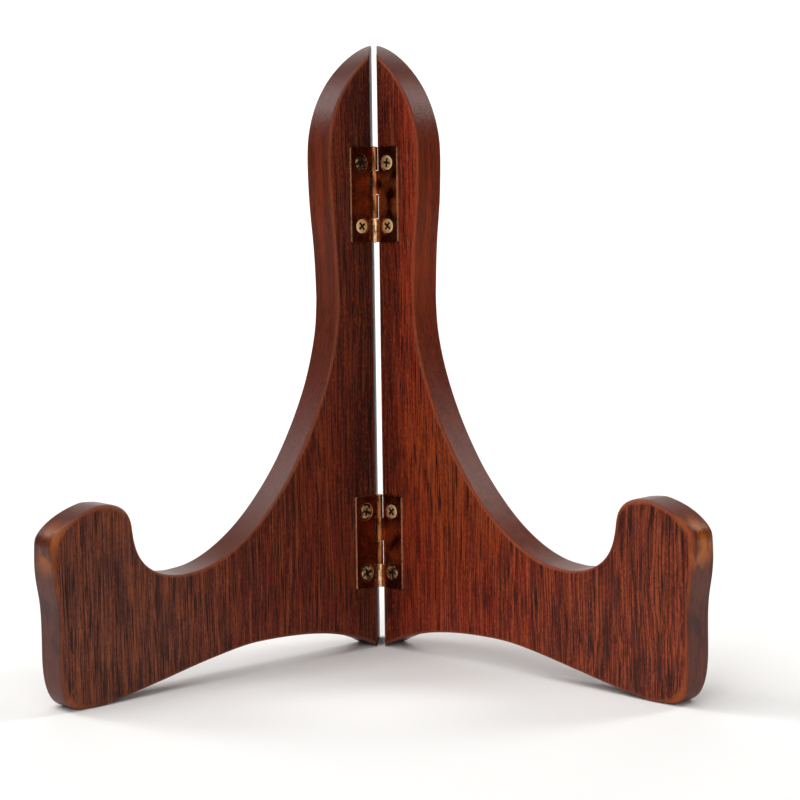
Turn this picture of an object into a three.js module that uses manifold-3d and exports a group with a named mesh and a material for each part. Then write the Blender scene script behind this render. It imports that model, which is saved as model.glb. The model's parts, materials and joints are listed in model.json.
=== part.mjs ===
// Folding plate stand: two hardwood panels joined by a pair of small butt hinges.
// Millimetres, +Z up. The panels open towards -Y, and a plate stands in their two notches.
import * as THREE from "three";
import { mergeVertices } from "three/addons/utils/BufferGeometryUtils.js";
import Module from "manifold-3d";

const wasm = await Module();
wasm.setup();

// ---------------------------------------------------------------- driving dimensions

const PANEL_HEIGHT = 155; // sole to tip
const PANEL_WIDTH = 105; // rear arris of the mitre to the nose of the hook
const PANEL_THICKNESS = 9;
const MITRE_ANGLE = 45; // of the hinge edge, from square
const ARRIS_ROUND = 1.1; // radius sanded on both faces' edges
const REST_ANGLE = 43; // each panel from the stand's mid-plane normal, standing open

// The outline's places. A drop is from the tip, an inset is from the nose, and a width or an
// offset is from the hinge arris. A lead is how far a curve holds its heading beside its stop.
const TIP_SLOPE = -8;
const TIP_LEAD = 7.6;
const HEAD_WIDTH = 13.5;
const HEAD_DROP = 29;
const HEAD_LEAD = 17.5;
const NECK_WIDTH = 11.5;
const NECK_DROP = 65.5;
const NECK_LEAD_UP = 18.5;
const NECK_LEAD_DOWN = 24.5;
const SEAT_HEIGHT = 27.5; // lowest point of the notch that the plate stands in
const SEAT_INSET = 36.5;
const SEAT_LEAD_IN = 24;
const SEAT_LEAD_OUT = 7.5;
const FLANK_HEIGHT = 39.5; // the hook's upright inner side
const FLANK_INSET = 22;
const FLANK_HEADING = 88;
const FLANK_LEAD_LOW = 9;
const FLANK_LEAD_HIGH = 4.5;
const CROWN_HEIGHT = 46.5; // top of the hook
const CROWN_INSET = 13;
const CROWN_LEAD_IN = 7;
const CROWN_LEAD_OUT = 1.5;
const NOSE_HEIGHT = 38.5; // outermost point
const NOSE_LEAD_UP = 4.5;
const NOSE_LEAD_DOWN = 12.5;
const ANKLE_HEIGHT = 18.5;
const ANKLE_INSET = 1.5;
const ANKLE_LEAD = 10;
const TOE_INSET = 7.5;
const TOE_LENGTH = 4; // flat that the foot stands on
const TOE_LEAD_OUTER = 7;
const TOE_LEAD_INNER = 16.5;
const TOE_RISE = 173; // heading at which the arch leaves the toe
const ARCH_HEIGHT = 7.5;
const ARCH_OFFSET = 38;
const ARCH_LEAD_OUTER = 10;
const ARCH_LEAD_INNER = 19;
const HEEL_BACKSET = 1.2; // the heel's flat starts this far behind the hinge arris
const HEEL_HEADING = 206;
const HEEL_LEAD = 12.8;

const HINGE_LENGTH = 24;
const UPPER_HINGE_DROP = 38.5; // hinge centre below the tip
const LOWER_HINGE_HEIGHT = 28; // hinge centre above the floor
const KNUCKLE_COUNT = 4; // shared between the two leaves
const KNUCKLE_GAP = 0.1; // between neighbouring knuckles
const PIN_RADIUS = 0.35;
const PIN_RUNNING_CLEARANCE = 0.05; // radial, in the knuckles
const PIN_STAND_OUT = 0.15; // each domed end, past the knuckles
const SHEET_THICKNESS = 0.5; // of the leaves
const LEAF_WIDTH = 7.4; // knuckle axis to the leaf's outer edge
const LEAF_CORNER_RADIUS = 0.5;
const LEAF_KNUCKLE_CLEARANCE = 0.2; // round the other leaf's knuckles
const ROLL_SEAM = 0.1; // between the rolled end and its own leaf
const SEAT_GAP = 0.05; // between a leaf's back and the wood
const ARRIS_SETBACK = 0.58; // hinge arris from the knuckle axis, along the panel

const SCREW_OFFSET = 4.15; // from the knuckle axis
const SCREW_SPACING = 15.8; // between the two screws of a leaf
const HEAD_RADIUS = 1.8;
const HEAD_RISE = 0.25; // of the dome above the leaf
const HEAD_RIM = 0.08; // height of the rim that the dome starts from
const SHANK_RADIUS = 0.8;
const THREAD_RADIUS = 1.05;
const THREAD_PITCH = 0.9;
const THREAD_TURNS = 4;
const SCREW_POINT = 1; // length of the conical tip
const SCREW_CLEARANCE = 0.06; // round the head and the thread
const COUNTERSINK_MARGIN = 0.32; // the leaf's countersink is this much wider than the head's
const RECESS_SPAN = 2.35; // across the wings of the cross
const RECESS_FOOT_SPAN = 1.1;
const RECESS_SLOT = 0.62;
const RECESS_DEPTH = 0.95; // below the top of the dome

const CURVE_STEPS = 12; // facets along each curve of the outline
const KNUCKLE_STEPS = 28; // facets round a knuckle
const SCREW_STEPS = 26; // facets round a screw, its hole and a pin
const DOME_STEPS = 4;
const ARRIS_STEPS = 2;

// ---------------------------------------------------------------- derived sizes

const rad = THREE.MathUtils.degToRad;
const boreRadius = PIN_RADIUS + PIN_RUNNING_CLEARANCE;
const knuckleRadius = boreRadius + SHEET_THICKNESS;
const woodFace = knuckleRadius + SEAT_GAP; // the inner face, behind the knuckle axis
const leafFront = boreRadius; // the leaf's visible face, behind the knuckle axis
const mitreDepth = PANEL_THICKNESS * Math.tan(rad(MITRE_ANGLE));
const nose = PANEL_WIDTH - mitreDepth; // hinge arris to the nose
const hingeHeights = {
  upper: PANEL_HEIGHT - UPPER_HINGE_DROP,
  lower: LOWER_HINGE_HEIGHT,
};
const screwSteps = { top: SCREW_SPACING / 2, bottom: -SCREW_SPACING / 2 };
const shankLength = HEAD_RADIUS - SHANK_RADIUS; // the head's cone is at 45 degrees
const threadLength = THREAD_PITCH * THREAD_TURNS;
const acrossFlats = 1 / Math.cos(Math.PI / SCREW_STEPS); // a faceted hole is sized at its flats

// ---------------------------------------------------------------- materials

const stainedWood = (name, color) =>
  new THREE.MeshStandardMaterial({ name, color, roughness: 0.42, metalness: 0 });
const antiqueCopper = new THREE.MeshStandardMaterial({
  name: "antique_copper",
  color: 0x6b3d22,
  roughness: 0.38,
  metalness: 1,
});
const brassScrew = new THREE.MeshStandardMaterial({
  name: "brass_screw",
  color: 0xb58a52,
  roughness: 0.32,
  metalness: 1,
});
const steelPin = new THREE.MeshStandardMaterial({
  name: "bronzed_pin",
  color: 0x8a6238,
  roughness: 0.4,
  metalness: 1,
});

// ---------------------------------------------------------------- solids

function toSolid(geometry) {
  const bare = geometry.index ? geometry.toNonIndexed() : geometry.clone();
  bare.deleteAttribute("normal");
  bare.deleteAttribute("uv");
  const merged = mergeVertices(bare, 1e-4);
  return new wasm.Manifold(
    new wasm.Mesh({
      numProp: 3,
      vertProperties: merged.attributes.position.array,
      triVerts: new Uint32Array(merged.index.array),
    }),
  );
}

function toGeometry(solid) {
  const mesh = solid.getMesh();
  const geometry = new THREE.BufferGeometry();
  const positions = new THREE.BufferAttribute(mesh.vertProperties, 3);
  geometry.setAttribute("position", positions);
  geometry.setIndex(new THREE.BufferAttribute(mesh.triVerts, 1));
  const faceted = geometry.toNonIndexed();
  faceted.computeVertexNormals();
  return faceted;
}

// A turned solid about the Y axis, from a profile of [radius, y] points that starts and ends on it.
function turned(profile) {
  const points = profile.map(([radius, y]) => new THREE.Vector2(radius, y));
  return new THREE.LatheGeometry(points, SCREW_STEPS);
}

// A flat shape drawn in X and Z, with its thickness from y = front to y = back.
function slab(shape, front, back, options = {}) {
  const round = options.round ?? 0;
  const geometry = new THREE.ExtrudeGeometry(shape, {
    depth: back - front - 2 * round,
    curveSegments: options.steps ?? CURVE_STEPS,
    bevelEnabled: round > 0,
    bevelThickness: round,
    bevelSize: round,
    bevelOffset: -round,
    bevelSegments: ARRIS_STEPS,
  });
  geometry.rotateX(Math.PI / 2);
  geometry.translate(0, back - round, 0);
  return geometry;
}

// ---------------------------------------------------------------- panel

// Draws a curve between two stops, leaving the first and meeting the second along their headings.
function curveTo(shape, from, to) {
  const leave = rad(from.heading);
  const meet = rad(to.heading);
  shape.bezierCurveTo(
    from.x + from.after * Math.cos(leave),
    from.z + from.after * Math.sin(leave),
    to.x - to.before * Math.cos(meet),
    to.z - to.before * Math.sin(meet),
    to.x,
    to.z,
  );
}

// The panel's outline, clockwise from the tip at the back of the mitre; x is from the hinge arris.
function panelOutline() {
  const tip = { x: -mitreDepth, z: PANEL_HEIGHT, heading: TIP_SLOPE, after: TIP_LEAD };
  const down = [
    tip,
    {
      x: HEAD_WIDTH,
      z: PANEL_HEIGHT - HEAD_DROP,
      heading: -90,
      before: HEAD_LEAD,
      after: HEAD_LEAD,
    },
    {
      x: NECK_WIDTH,
      z: PANEL_HEIGHT - NECK_DROP,
      heading: -90,
      before: NECK_LEAD_UP,
      after: NECK_LEAD_DOWN,
    },
    {
      x: nose - SEAT_INSET,
      z: SEAT_HEIGHT,
      heading: 0,
      before: SEAT_LEAD_IN,
      after: SEAT_LEAD_OUT,
    },
    {
      x: nose - FLANK_INSET,
      z: FLANK_HEIGHT,
      heading: FLANK_HEADING,
      before: FLANK_LEAD_LOW,
      after: FLANK_LEAD_HIGH,
    },
    {
      x: nose - CROWN_INSET,
      z: CROWN_HEIGHT,
      heading: 0,
      before: CROWN_LEAD_IN,
      after: CROWN_LEAD_OUT,
    },
    {
      x: nose,
      z: NOSE_HEIGHT,
      heading: -90,
      before: NOSE_LEAD_UP,
      after: NOSE_LEAD_DOWN,
    },
    {
      x: nose - ANKLE_INSET,
      z: ANKLE_HEIGHT,
      heading: -90,
      before: ANKLE_LEAD,
      after: ANKLE_LEAD,
    },
    { x: nose - TOE_INSET, z: 0, heading: 180, before: TOE_LEAD_OUTER },
  ];
  const under = [
    {
      x: nose - TOE_INSET - TOE_LENGTH,
      z: 0,
      heading: TOE_RISE,
      after: TOE_LEAD_INNER,
    },
    {
      x: ARCH_OFFSET,
      z: ARCH_HEIGHT,
      heading: 180,
      before: ARCH_LEAD_OUTER,
      after: ARCH_LEAD_INNER,
    },
    { x: -HEEL_BACKSET, z: 0, heading: HEEL_HEADING, before: HEEL_LEAD },
  ];
  const past = -mitreDepth - PANEL_THICKNESS; // beyond the mitre, which cuts it off
  const shape = new THREE.Shape();
  shape.moveTo(past, PANEL_HEIGHT);
  shape.lineTo(tip.x, tip.z);
  down.slice(1).forEach((stop, i) => curveTo(shape, down[i], stop));
  shape.lineTo(under[0].x, under[0].z);
  under.slice(1).forEach((stop, i) => curveTo(shape, under[i], stop));
  shape.lineTo(past, 0);
  shape.closePath();
  return shape;
}

// What the mitre takes off: everything behind a plane through the hinge arris.
function mitreCutter() {
  const reach = 4 * PANEL_THICKNESS;
  const tall = 2 * PANEL_HEIGHT;
  const block = new THREE.BoxGeometry(reach, 2 * reach, tall);
  block.translate(-reach / 2, 0, PANEL_HEIGHT / 2);
  block.rotateZ(rad(MITRE_ANGLE));
  block.translate(ARRIS_SETBACK, woodFace, 0);
  return toSolid(block);
}

// The hole that a screw's cone and thread pass through, running past the face it starts from.
// A margin widens its cone, as a countersink that is cut too large for the head.
function screwHole(x, z, margin = 0) {
  const headEdge = (HEAD_RADIUS + SCREW_CLEARANCE + margin) * acrossFlats;
  const boreEdge = (THREAD_RADIUS + SCREW_CLEARANCE) * acrossFlats;
  const coneEnd = leafFront + headEdge - boreEdge;
  const end = leafFront + shankLength + threadLength + SCREW_POINT + SCREW_CLEARANCE;
  const hole = turned([
    [0, 0],
    [headEdge, 0],
    [headEdge, leafFront],
    [boreEdge, coneEnd],
    [boreEdge, end - SCREW_POINT],
    [0, end],
  ]);
  hole.translate(x, 0, z);
  return toSolid(hole);
}

function panelGeometry() {
  const back = woodFace + PANEL_THICKNESS;
  const blank = slab(panelOutline(), woodFace, back, { round: ARRIS_ROUND });
  blank.translate(ARRIS_SETBACK, 0, 0);
  let wood = toSolid(blank).subtract(mitreCutter());
  for (const height of Object.values(hingeHeights)) {
    for (const step of Object.values(screwSteps)) {
      wood = wood.subtract(screwHole(SCREW_OFFSET, height + step));
    }
  }
  return toGeometry(wood);
}

// ---------------------------------------------------------------- hinge

// The section of the sheet where it rolls round the pin, with a short length of the leaf.
function rolledSection() {
  const rollEnd = Math.asin((boreRadius - ROLL_SEAM) / knuckleRadius);
  const stub = 2 * knuckleRadius;
  const shape = new THREE.Shape();
  shape.moveTo(stub, boreRadius);
  shape.lineTo(stub, knuckleRadius);
  shape.lineTo(0, knuckleRadius);
  shape.absarc(0, 0, knuckleRadius, Math.PI / 2, 2 * Math.PI + rollEnd, false);
  shape.absarc(0, 0, boreRadius, 2 * Math.PI + rollEnd, Math.PI / 2, true);
  shape.closePath();
  return shape;
}

// One leaf, with the even knuckles counted from the top, lying on the +X side of the axis.
function leafGeometry() {
  const half = HINGE_LENGTH / 2;
  const start = knuckleRadius + LEAF_KNUCKLE_CLEARANCE;
  const r = LEAF_CORNER_RADIUS;
  const plate = new THREE.Shape();
  plate.moveTo(start, -half);
  plate.lineTo(LEAF_WIDTH - r, -half);
  plate.absarc(LEAF_WIDTH - r, -half + r, r, -Math.PI / 2, 0, false);
  plate.absarc(LEAF_WIDTH - r, half - r, r, 0, Math.PI / 2, false);
  plate.lineTo(start, half);
  plate.closePath();
  let sheet = toSolid(slab(plate, boreRadius, knuckleRadius, { steps: 3 }));
  const pitch = (HINGE_LENGTH + KNUCKLE_GAP) / KNUCKLE_COUNT;
  const length = pitch - KNUCKLE_GAP;
  for (let i = 1; i < KNUCKLE_COUNT; i += 2) {
    const knuckle = new THREE.ExtrudeGeometry(rolledSection(), {
      depth: length,
      curveSegments: KNUCKLE_STEPS,
      bevelEnabled: false,
    });
    knuckle.translate(0, 0, half - i * pitch - length);
    sheet = sheet.add(toSolid(knuckle));
  }
  for (const step of Object.values(screwSteps)) {
    sheet = sheet.subtract(screwHole(SCREW_OFFSET, step, COUNTERSINK_MARGIN));
  }
  return toGeometry(sheet);
}

function pinGeometry() {
  const half = HINGE_LENGTH / 2;
  const shoulder = PIN_RADIUS - PIN_STAND_OUT;
  const pin = turned([
    [0, -half - PIN_STAND_OUT],
    [shoulder, -half - PIN_STAND_OUT],
    [PIN_RADIUS, -half],
    [PIN_RADIUS, half],
    [shoulder, half + PIN_STAND_OUT],
    [0, half + PIN_STAND_OUT],
  ]);
  pin.rotateX(Math.PI / 2);
  return pin;
}

// ---------------------------------------------------------------- screw

// A tapered slot for one pair of the cross recess's wings.
function recessWing(turn) {
  const top = leafFront - HEAD_RISE;
  const above = top - HEAD_RISE;
  const foot = top + RECESS_DEPTH;
  const wing = new THREE.Shape();
  wing.moveTo(-RECESS_SPAN / 2, above);
  wing.lineTo(RECESS_SPAN / 2, above);
  wing.lineTo(RECESS_SPAN / 2, top);
  wing.lineTo(RECESS_FOOT_SPAN / 2, foot);
  wing.lineTo(-RECESS_FOOT_SPAN / 2, foot);
  wing.lineTo(-RECESS_SPAN / 2, top);
  wing.closePath();
  const slot = new THREE.ExtrudeGeometry(wing, { depth: RECESS_SLOT, bevelEnabled: false });
  slot.translate(0, 0, -RECESS_SLOT / 2);
  slot.rotateY(turn);
  return toSolid(slot);
}

// A raised countersunk wood screw, its axis along Y and its dome towards -Y.
function screwGeometry() {
  const dome = HEAD_RISE - HEAD_RIM;
  const profile = [];
  for (let i = 0; i <= DOME_STEPS; i += 1) {
    const around = (i / DOME_STEPS) * (Math.PI / 2);
    const y = leafFront - HEAD_RIM - dome * Math.cos(around);
    profile.push([HEAD_RADIUS * Math.sin(around), y]);
  }
  profile.push([HEAD_RADIUS, leafFront]);
  let y = leafFront + shankLength;
  profile.push([SHANK_RADIUS, y]);
  for (let turn = 0; turn < THREAD_TURNS; turn += 1) {
    profile.push([THREAD_RADIUS, y + THREAD_PITCH / 2]);
    y += THREAD_PITCH;
    profile.push([SHANK_RADIUS, y]);
  }
  profile.push([0, y + SCREW_POINT]);
  let screw = toSolid(turned(profile));
  for (const turn of [0, Math.PI / 2]) {
    screw = screw.subtract(recessWing(turn));
  }
  return toGeometry(screw);
}

// How far each screw was left turned, in degrees.
const SCREW_TURNS = {
  upper_left_top: 20,
  upper_left_bottom: 52,
  upper_right_top: 8,
  upper_right_bottom: 38,
  lower_left_top: 12,
  lower_left_bottom: 70,
  lower_right_top: 47,
  lower_right_bottom: 85,
};

// ---------------------------------------------------------------- assembly

const panel = panelGeometry();
const leaf = leafGeometry();
const pin = pinGeometry();
const screw = screwGeometry();
const sides = {
  left: { sign: -1, wood: stainedWood("walnut_stained_panel", 0x5a2a1a) },
  right: { sign: 1, wood: stainedWood("mahogany_stained_panel", 0x7c341b) },
};

// A piece, with the side of the knuckle axis that it is on and its height above the floor.
function place(name, geometry, material, x, z) {
  const piece = new THREE.Mesh(geometry, material);
  piece.name = name;
  piece.position.set(x, 0, z);
  return piece;
}

// One half of the stand, turned about the knuckle axis, which is its origin.
function halfStand(sideName) {
  const { sign, wood } = sides[sideName];
  const half = new THREE.Group();
  const board = place(sideName + "_panel", panel, wood, 0, 0);
  board.scale.x = sign;
  half.add(board);
  for (const [hinge, height] of Object.entries(hingeHeights)) {
    const plate = place(hinge + "_hinge_" + sideName + "_leaf", leaf, antiqueCopper, 0, height);
    plate.rotation.y = sign < 0 ? Math.PI : 0;
    half.add(plate);
    for (const [end, step] of Object.entries(screwSteps)) {
      const spot = hinge + "_" + sideName + "_" + end;
      const name = hinge + "_" + sideName + "_screw_" + end;
      const fixing = place(name, screw, brassScrew, sign * SCREW_OFFSET, height + step);
      fixing.rotation.y = rad(SCREW_TURNS[spot]);
      half.add(fixing);
    }
  }
  half.rotation.z = -sign * rad(REST_ANGLE);
  return half;
}

const stand = new THREE.Group();
stand.add(halfStand("left"), halfStand("right"));
for (const [hinge, height] of Object.entries(hingeHeights)) {
  stand.add(place(hinge + "_hinge_pin", pin, steelPin, 0, height));
}

// The origin is on the floor, under the middle of the stand.
const extent = new THREE.Box3().setFromObject(stand, true);
const middle = extent.getCenter(new THREE.Vector3());
stand.position.set(-middle.x, -middle.y, -extent.min.z);

const group = new THREE.Group();
group.add(stand);

export default group;
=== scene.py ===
"""A folding plate stand: two stained hardwood panels hinged along a mitre, on a plain studio sweep."""

import json
import math

import bmesh
import bpy
from bpy.props import FloatProperty, FloatVectorProperty, PointerProperty
from mathutils import Matrix, Vector, noise


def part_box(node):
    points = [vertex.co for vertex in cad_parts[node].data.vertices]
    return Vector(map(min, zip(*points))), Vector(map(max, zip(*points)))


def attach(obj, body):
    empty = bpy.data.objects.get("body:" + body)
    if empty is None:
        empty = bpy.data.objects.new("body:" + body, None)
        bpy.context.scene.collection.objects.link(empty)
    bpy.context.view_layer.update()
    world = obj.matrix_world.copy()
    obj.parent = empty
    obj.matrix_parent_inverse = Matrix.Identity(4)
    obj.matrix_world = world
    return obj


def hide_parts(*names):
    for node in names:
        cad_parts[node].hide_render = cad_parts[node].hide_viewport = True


bl_info = {
    "name": "Plate display stand",
    "version": (1, 0, 0),
    "blender": (4, 5, 0),
    "location": "View3D > Sidebar > Plate Stand",
    "description": "Builds the visible pieces of a folding plate stand and a studio for it",
    "category": "Object",
}

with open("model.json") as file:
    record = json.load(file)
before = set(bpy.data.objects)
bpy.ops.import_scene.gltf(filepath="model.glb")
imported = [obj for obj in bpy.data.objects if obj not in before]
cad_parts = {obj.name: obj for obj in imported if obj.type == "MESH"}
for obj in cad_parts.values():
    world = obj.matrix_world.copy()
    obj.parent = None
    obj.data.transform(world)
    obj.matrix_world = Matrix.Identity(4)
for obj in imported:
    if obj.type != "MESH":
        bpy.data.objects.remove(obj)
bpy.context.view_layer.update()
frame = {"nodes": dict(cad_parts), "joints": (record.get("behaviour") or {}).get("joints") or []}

MM = 0.001
JOINT = frame["joints"][0]
AXIS = Vector((JOINT["pos_m"][0], JOINT["pos_m"][1], 0.0))
SIDES = {"left": -1, "right": 1}

# How far each panel is turned back from the plane across the hinges.
HALF_ANGLE = math.radians(43)

# The rounding of the CAD panel's edges, which tells where its outline is widest.
CAD_ARRIS_ROUND = 1.1 * MM


def linear(colour):
    """The linear red, green and blue of an sRGB colour written as a hex number."""
    channels = [(colour >> shift & 255) / 255 for shift in (16, 8, 0)]
    return [c / 12.92 if c <= 0.04045 else ((c + 0.055) / 1.055) ** 2.4 for c in channels]


def shade(colour):
    """A colour property as the four numbers that a node's colour socket takes."""
    return (*colour, 1.0)


def length(name, description, default):
    return FloatProperty(
        name=name, description=description, default=default, unit="LENGTH", min=0.0, precision=5
    )


def tint(name, description, default):
    return FloatVectorProperty(
        name=name, description=description, default=linear(default), subtype="COLOR", min=0.0, max=1.0
    )


class StandSizes(bpy.types.PropertyGroup):
    """Sizes of the shaping and finishing of the stand's pieces."""

    half_angle: FloatProperty(
        name="Half angle",
        description="Half of the angle that a panel is turned back from the hinge line",
        default=HALF_ANGLE,
        subtype="ANGLE",
    )
    outline_step: length("Outline step", "Spacing of the points round a panel's edge", 0.8 * MM)
    arris_round: length("Arris round", "Radius of a panel's sanded edges", 0.8 * MM)
    corner_wear: length("Corner wear", "How much rounder the edges are at noses and toes", 1.3 * MM)
    hand_sanding: length("Hand sanding", "Depth of the slight waves left by sanding", 0.14 * MM)
    mitre_easing: length("Mitre easing", "Width of the eased edge round a mitre face", 0.22 * MM)
    # On a hinge leaf this bevelled edge gets bright copper: worn plating and a painted highlight.
    leaf_arris: length("Leaf arris", "Width of the rubbed edge of a hinge leaf", 0.09 * MM)
    screw_arris: length("Screw arris", "Width of the worn edge of a screw head", 0.05 * MM)


class StandColours(bpy.types.PropertyGroup):
    """Colours of the stand's finishes."""

    left_body: tint("Left body", "Stained ground of the left panel", 0x722210)
    left_deep: tint("Left deep", "Dark growth bands of the left panel", 0x44140E)
    left_light: tint("Left light", "Pale fibres of the left panel", 0x8E4822)
    left_glow: tint("Left glow", "Where the left panel's stain is thinnest", 0x5C200D)
    left_foot: tint("Left foot", "Browner ground of the left foot", 0x65372A)
    left_rim: tint("Left rim", "Sanded and stained outer edge of the left panel", 0x542419)
    right_body: tint("Right body", "Stained ground of the right panel", 0x902810)
    right_deep: tint("Right deep", "Dark growth bands of the right panel", 0x56160C)
    right_light: tint("Right light", "Pale fibres of the right panel", 0xAA4E26)
    right_glow: tint("Right glow", "Where the right panel's stain is thinnest", 0x9A4216)
    right_foot: tint("Right foot", "Browner ground of the right foot", 0x74301F)
    right_rim: tint("Right rim", "Sanded and stained outer edge of the right panel", 0x34100A)
    pore: tint("Pore", "Stain caught in the open pores", 0x160808)
    blot: tint("Blot", "Dark patches where the stain soaked in", 0x261210)
    # Dark maroon that the wood turns towards the hinge.
    hinge_dark: tint("Hinge side", "Heavy maroon stain along the hinge", 0x2C0806)
    rubbed_wood: tint("Rubbed wood", "Worn varnish on corners and noses", 0xB8641E)
    thin_stain: tint("Thin stain", "Orange streaks on the rims of the neck", 0x86340F)
    antique_copper: tint("Antique copper", "Plating of the hinge leaves", 0xF09860)
    copper_tarnish: tint("Copper tarnish", "Dark tarnish on the leaves", 0x52221C)
    # Bright copper of rubbed plating, also the painted highlight along the leaves' edges.
    copper_wear_and_highlight: tint("Rubbed copper", "Bright copper of the edges and the lowest knuckle", 0xFFCB98)
    knuckle_copper: tint("Knuckle copper", "Redder copper of the other knuckles", 0x9C6238)
    brass: tint("Brass", "Bright brass of the clean screws", 0xFFDCA0)
    brass_tarnish: tint("Brass tarnish", "Dull brown on the old screws", 0x4A3226)
    # Near-black painted shade in the cross recess and round the head.
    recess_shade: tint("Recess dirt", "Dirt in the cross recess and round the head", 0x080504)
    floor: tint("Floor", "Studio floor and sweep", 0xFBFAF8)


def add(tree, kind, inputs=None, **settings):
    """Adds a node, gives it its settings, and fills or links its inputs."""
    node = tree.nodes.new(kind)
    for key, value in settings.items():
        setattr(node, key, value)
    for key, value in (inputs or {}).items():
        if isinstance(value, bpy.types.NodeSocket):
            tree.links.new(value, node.inputs[key])
        else:
            node.inputs[key].default_value = value
    return node


def blank_material(name):
    """A new material with an empty tree."""
    material = bpy.data.materials.new(name)
    material.use_nodes = True
    material.node_tree.nodes.clear()
    return material


# The sockets of a colour mix: how much of the second colour, the two colours and the outcome.
SHARE, UNDER, OVER, MIXED = 0, 6, 7, 2

# The marks in the wood. Each has the place that it follows, its width and length in millimetres,
# and its noise's detail and roughness. Real pores are 0.15 mm wide, and they are drawn coarser to
# show at this size. Flecks are where cut fibres catch the light.
WOOD_MARKS = {
    "band": ("grain", 2.6, 130.0, 2.0, 0.5),
    "fibre": ("grain", 0.45, 36.0, 4.0, 0.7),
    "pore": ("grain", 0.26, 12.0, 1.0, 0.5),
    "fleck": ("grain", 0.4, 0.9, 2.0, 0.5),
    "blot": ("panel", 2.2, 14.0, 4.0, 0.5),
    "patch": ("panel", 5.0, 9.0, 3.0, 0.5),
    "pool": ("far", 4.0, 7.0, 3.0, 0.5),
}

# What a mark does to the colour: the noise at which it starts and at which it is full, how much
# of the new colour there is then, and how the change runs.
WOOD_SHARES = {
    "deep": ("band", 0.38, 0.68, 0.5, "SMOOTHSTEP"),
    "pale": ("fibre", 0.49, 0.6, 0.78, "LINEAR"),
    "dark": ("fibre", 0.49, 0.38, 0.75, "LINEAR"),
    "pore": ("pore", 0.55, 0.61, 1.0, "SMOOTHSTEP"),
    "fleck": ("fleck", 0.54, 0.68, 0.4, "LINEAR"),
    "speck": ("fleck", 0.46, 0.34, 0.4, "LINEAR"),
    "blot": ("blot", 0.52, 0.68, 0.75, "LINEAR"),
    "rubbed": ("patch", 0.44, 0.62, 1.0, "LINEAR"),
}

# What changes with the distance from the hinge: from where to where in millimetres, and from how
# much to how much. The wood turns dark maroon and its pale fibres fade towards the hinge, and the
# feet are blotchier and browner than the arms.
FIBRES_SHOW = (8.0, 30.0, 0.55, 1.0)
BLOTS_SHOW = (30.0, 70.0, 0.35, 1.0)
FOOT_BROWNS = (38.0, 66.0, 0.0, 1.0)
HINGE_DARK_FULL = 2.0

# How far apart the growth lines' wanderings lie, in millimetres across and up.
WANDER_WIDTH = 26.0
WANDER_HEIGHT = 60.0

# The thinly stained place is full within this many millimetres, and how full that is.
GLOW_CORE = 6.0
GLOW_STRENGTH = 0.8

# The rims: how much plainer they are than the faces, and the thinly stained neck with its middle
# height and reach in millimetres.
RIM_PLAINNESS = 0.75
NECK_HEIGHT = 108.0
NECK_REACH = 30.0
NECK_CORE = 10.0

# How the growth bands show on the rims, and the streaks on the neck's: the noise from which and
# to which they change, and the shares there.
RIM_BANDS = (0.4, 0.66, 0.1, 0.3)
NECK_STREAKS = (0.56, 0.4, 0.1, 0.75)

# The share of the pores that lie open on a face and on a rim, and their roughnesses.
PORES_SEEN = (0.85, 0.4)
WOOD_ROUGHNESS = (0.5, 0.3)
FIBRE_ROUGHNESS = 0.12

# How strong the painted highlight along the arrises is, how much the worn corners are paler, and how
# high the fibres stand.
ARRIS_HIGHLIGHT = 0.38
CORNER_RUBBING = 0.3
FIBRE_HEIGHT = 0.5
GRAIN_RELIEF = 0.05 * MM

# The hook's nose, where the rim is worn, and the place below it where stain pooled. Both are
# distance along the panel, depth and height, in millimetres, and then come the reach in
# millimetres and the noise at which a patch starts and at which it is full.
NOSE_WEAR = (93.0, 4.0, 37.0)
NOSE_WEAR_PATCHES = (8.0, 0.4, 0.52)
POOLED_STAIN = (95.0, 7.0, 20.0)
POOLED_STAIN_PATCHES = (12.0, 0.5, 0.64)
POOLED_STAIN_DEPTH = 0.6

# A patch is full within this share of its reach. The shift keeps its pattern apart from others.
PATCH_CORE = 0.4
FAR_SHIFT = (31.0, 17.0, 5.0)


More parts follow.
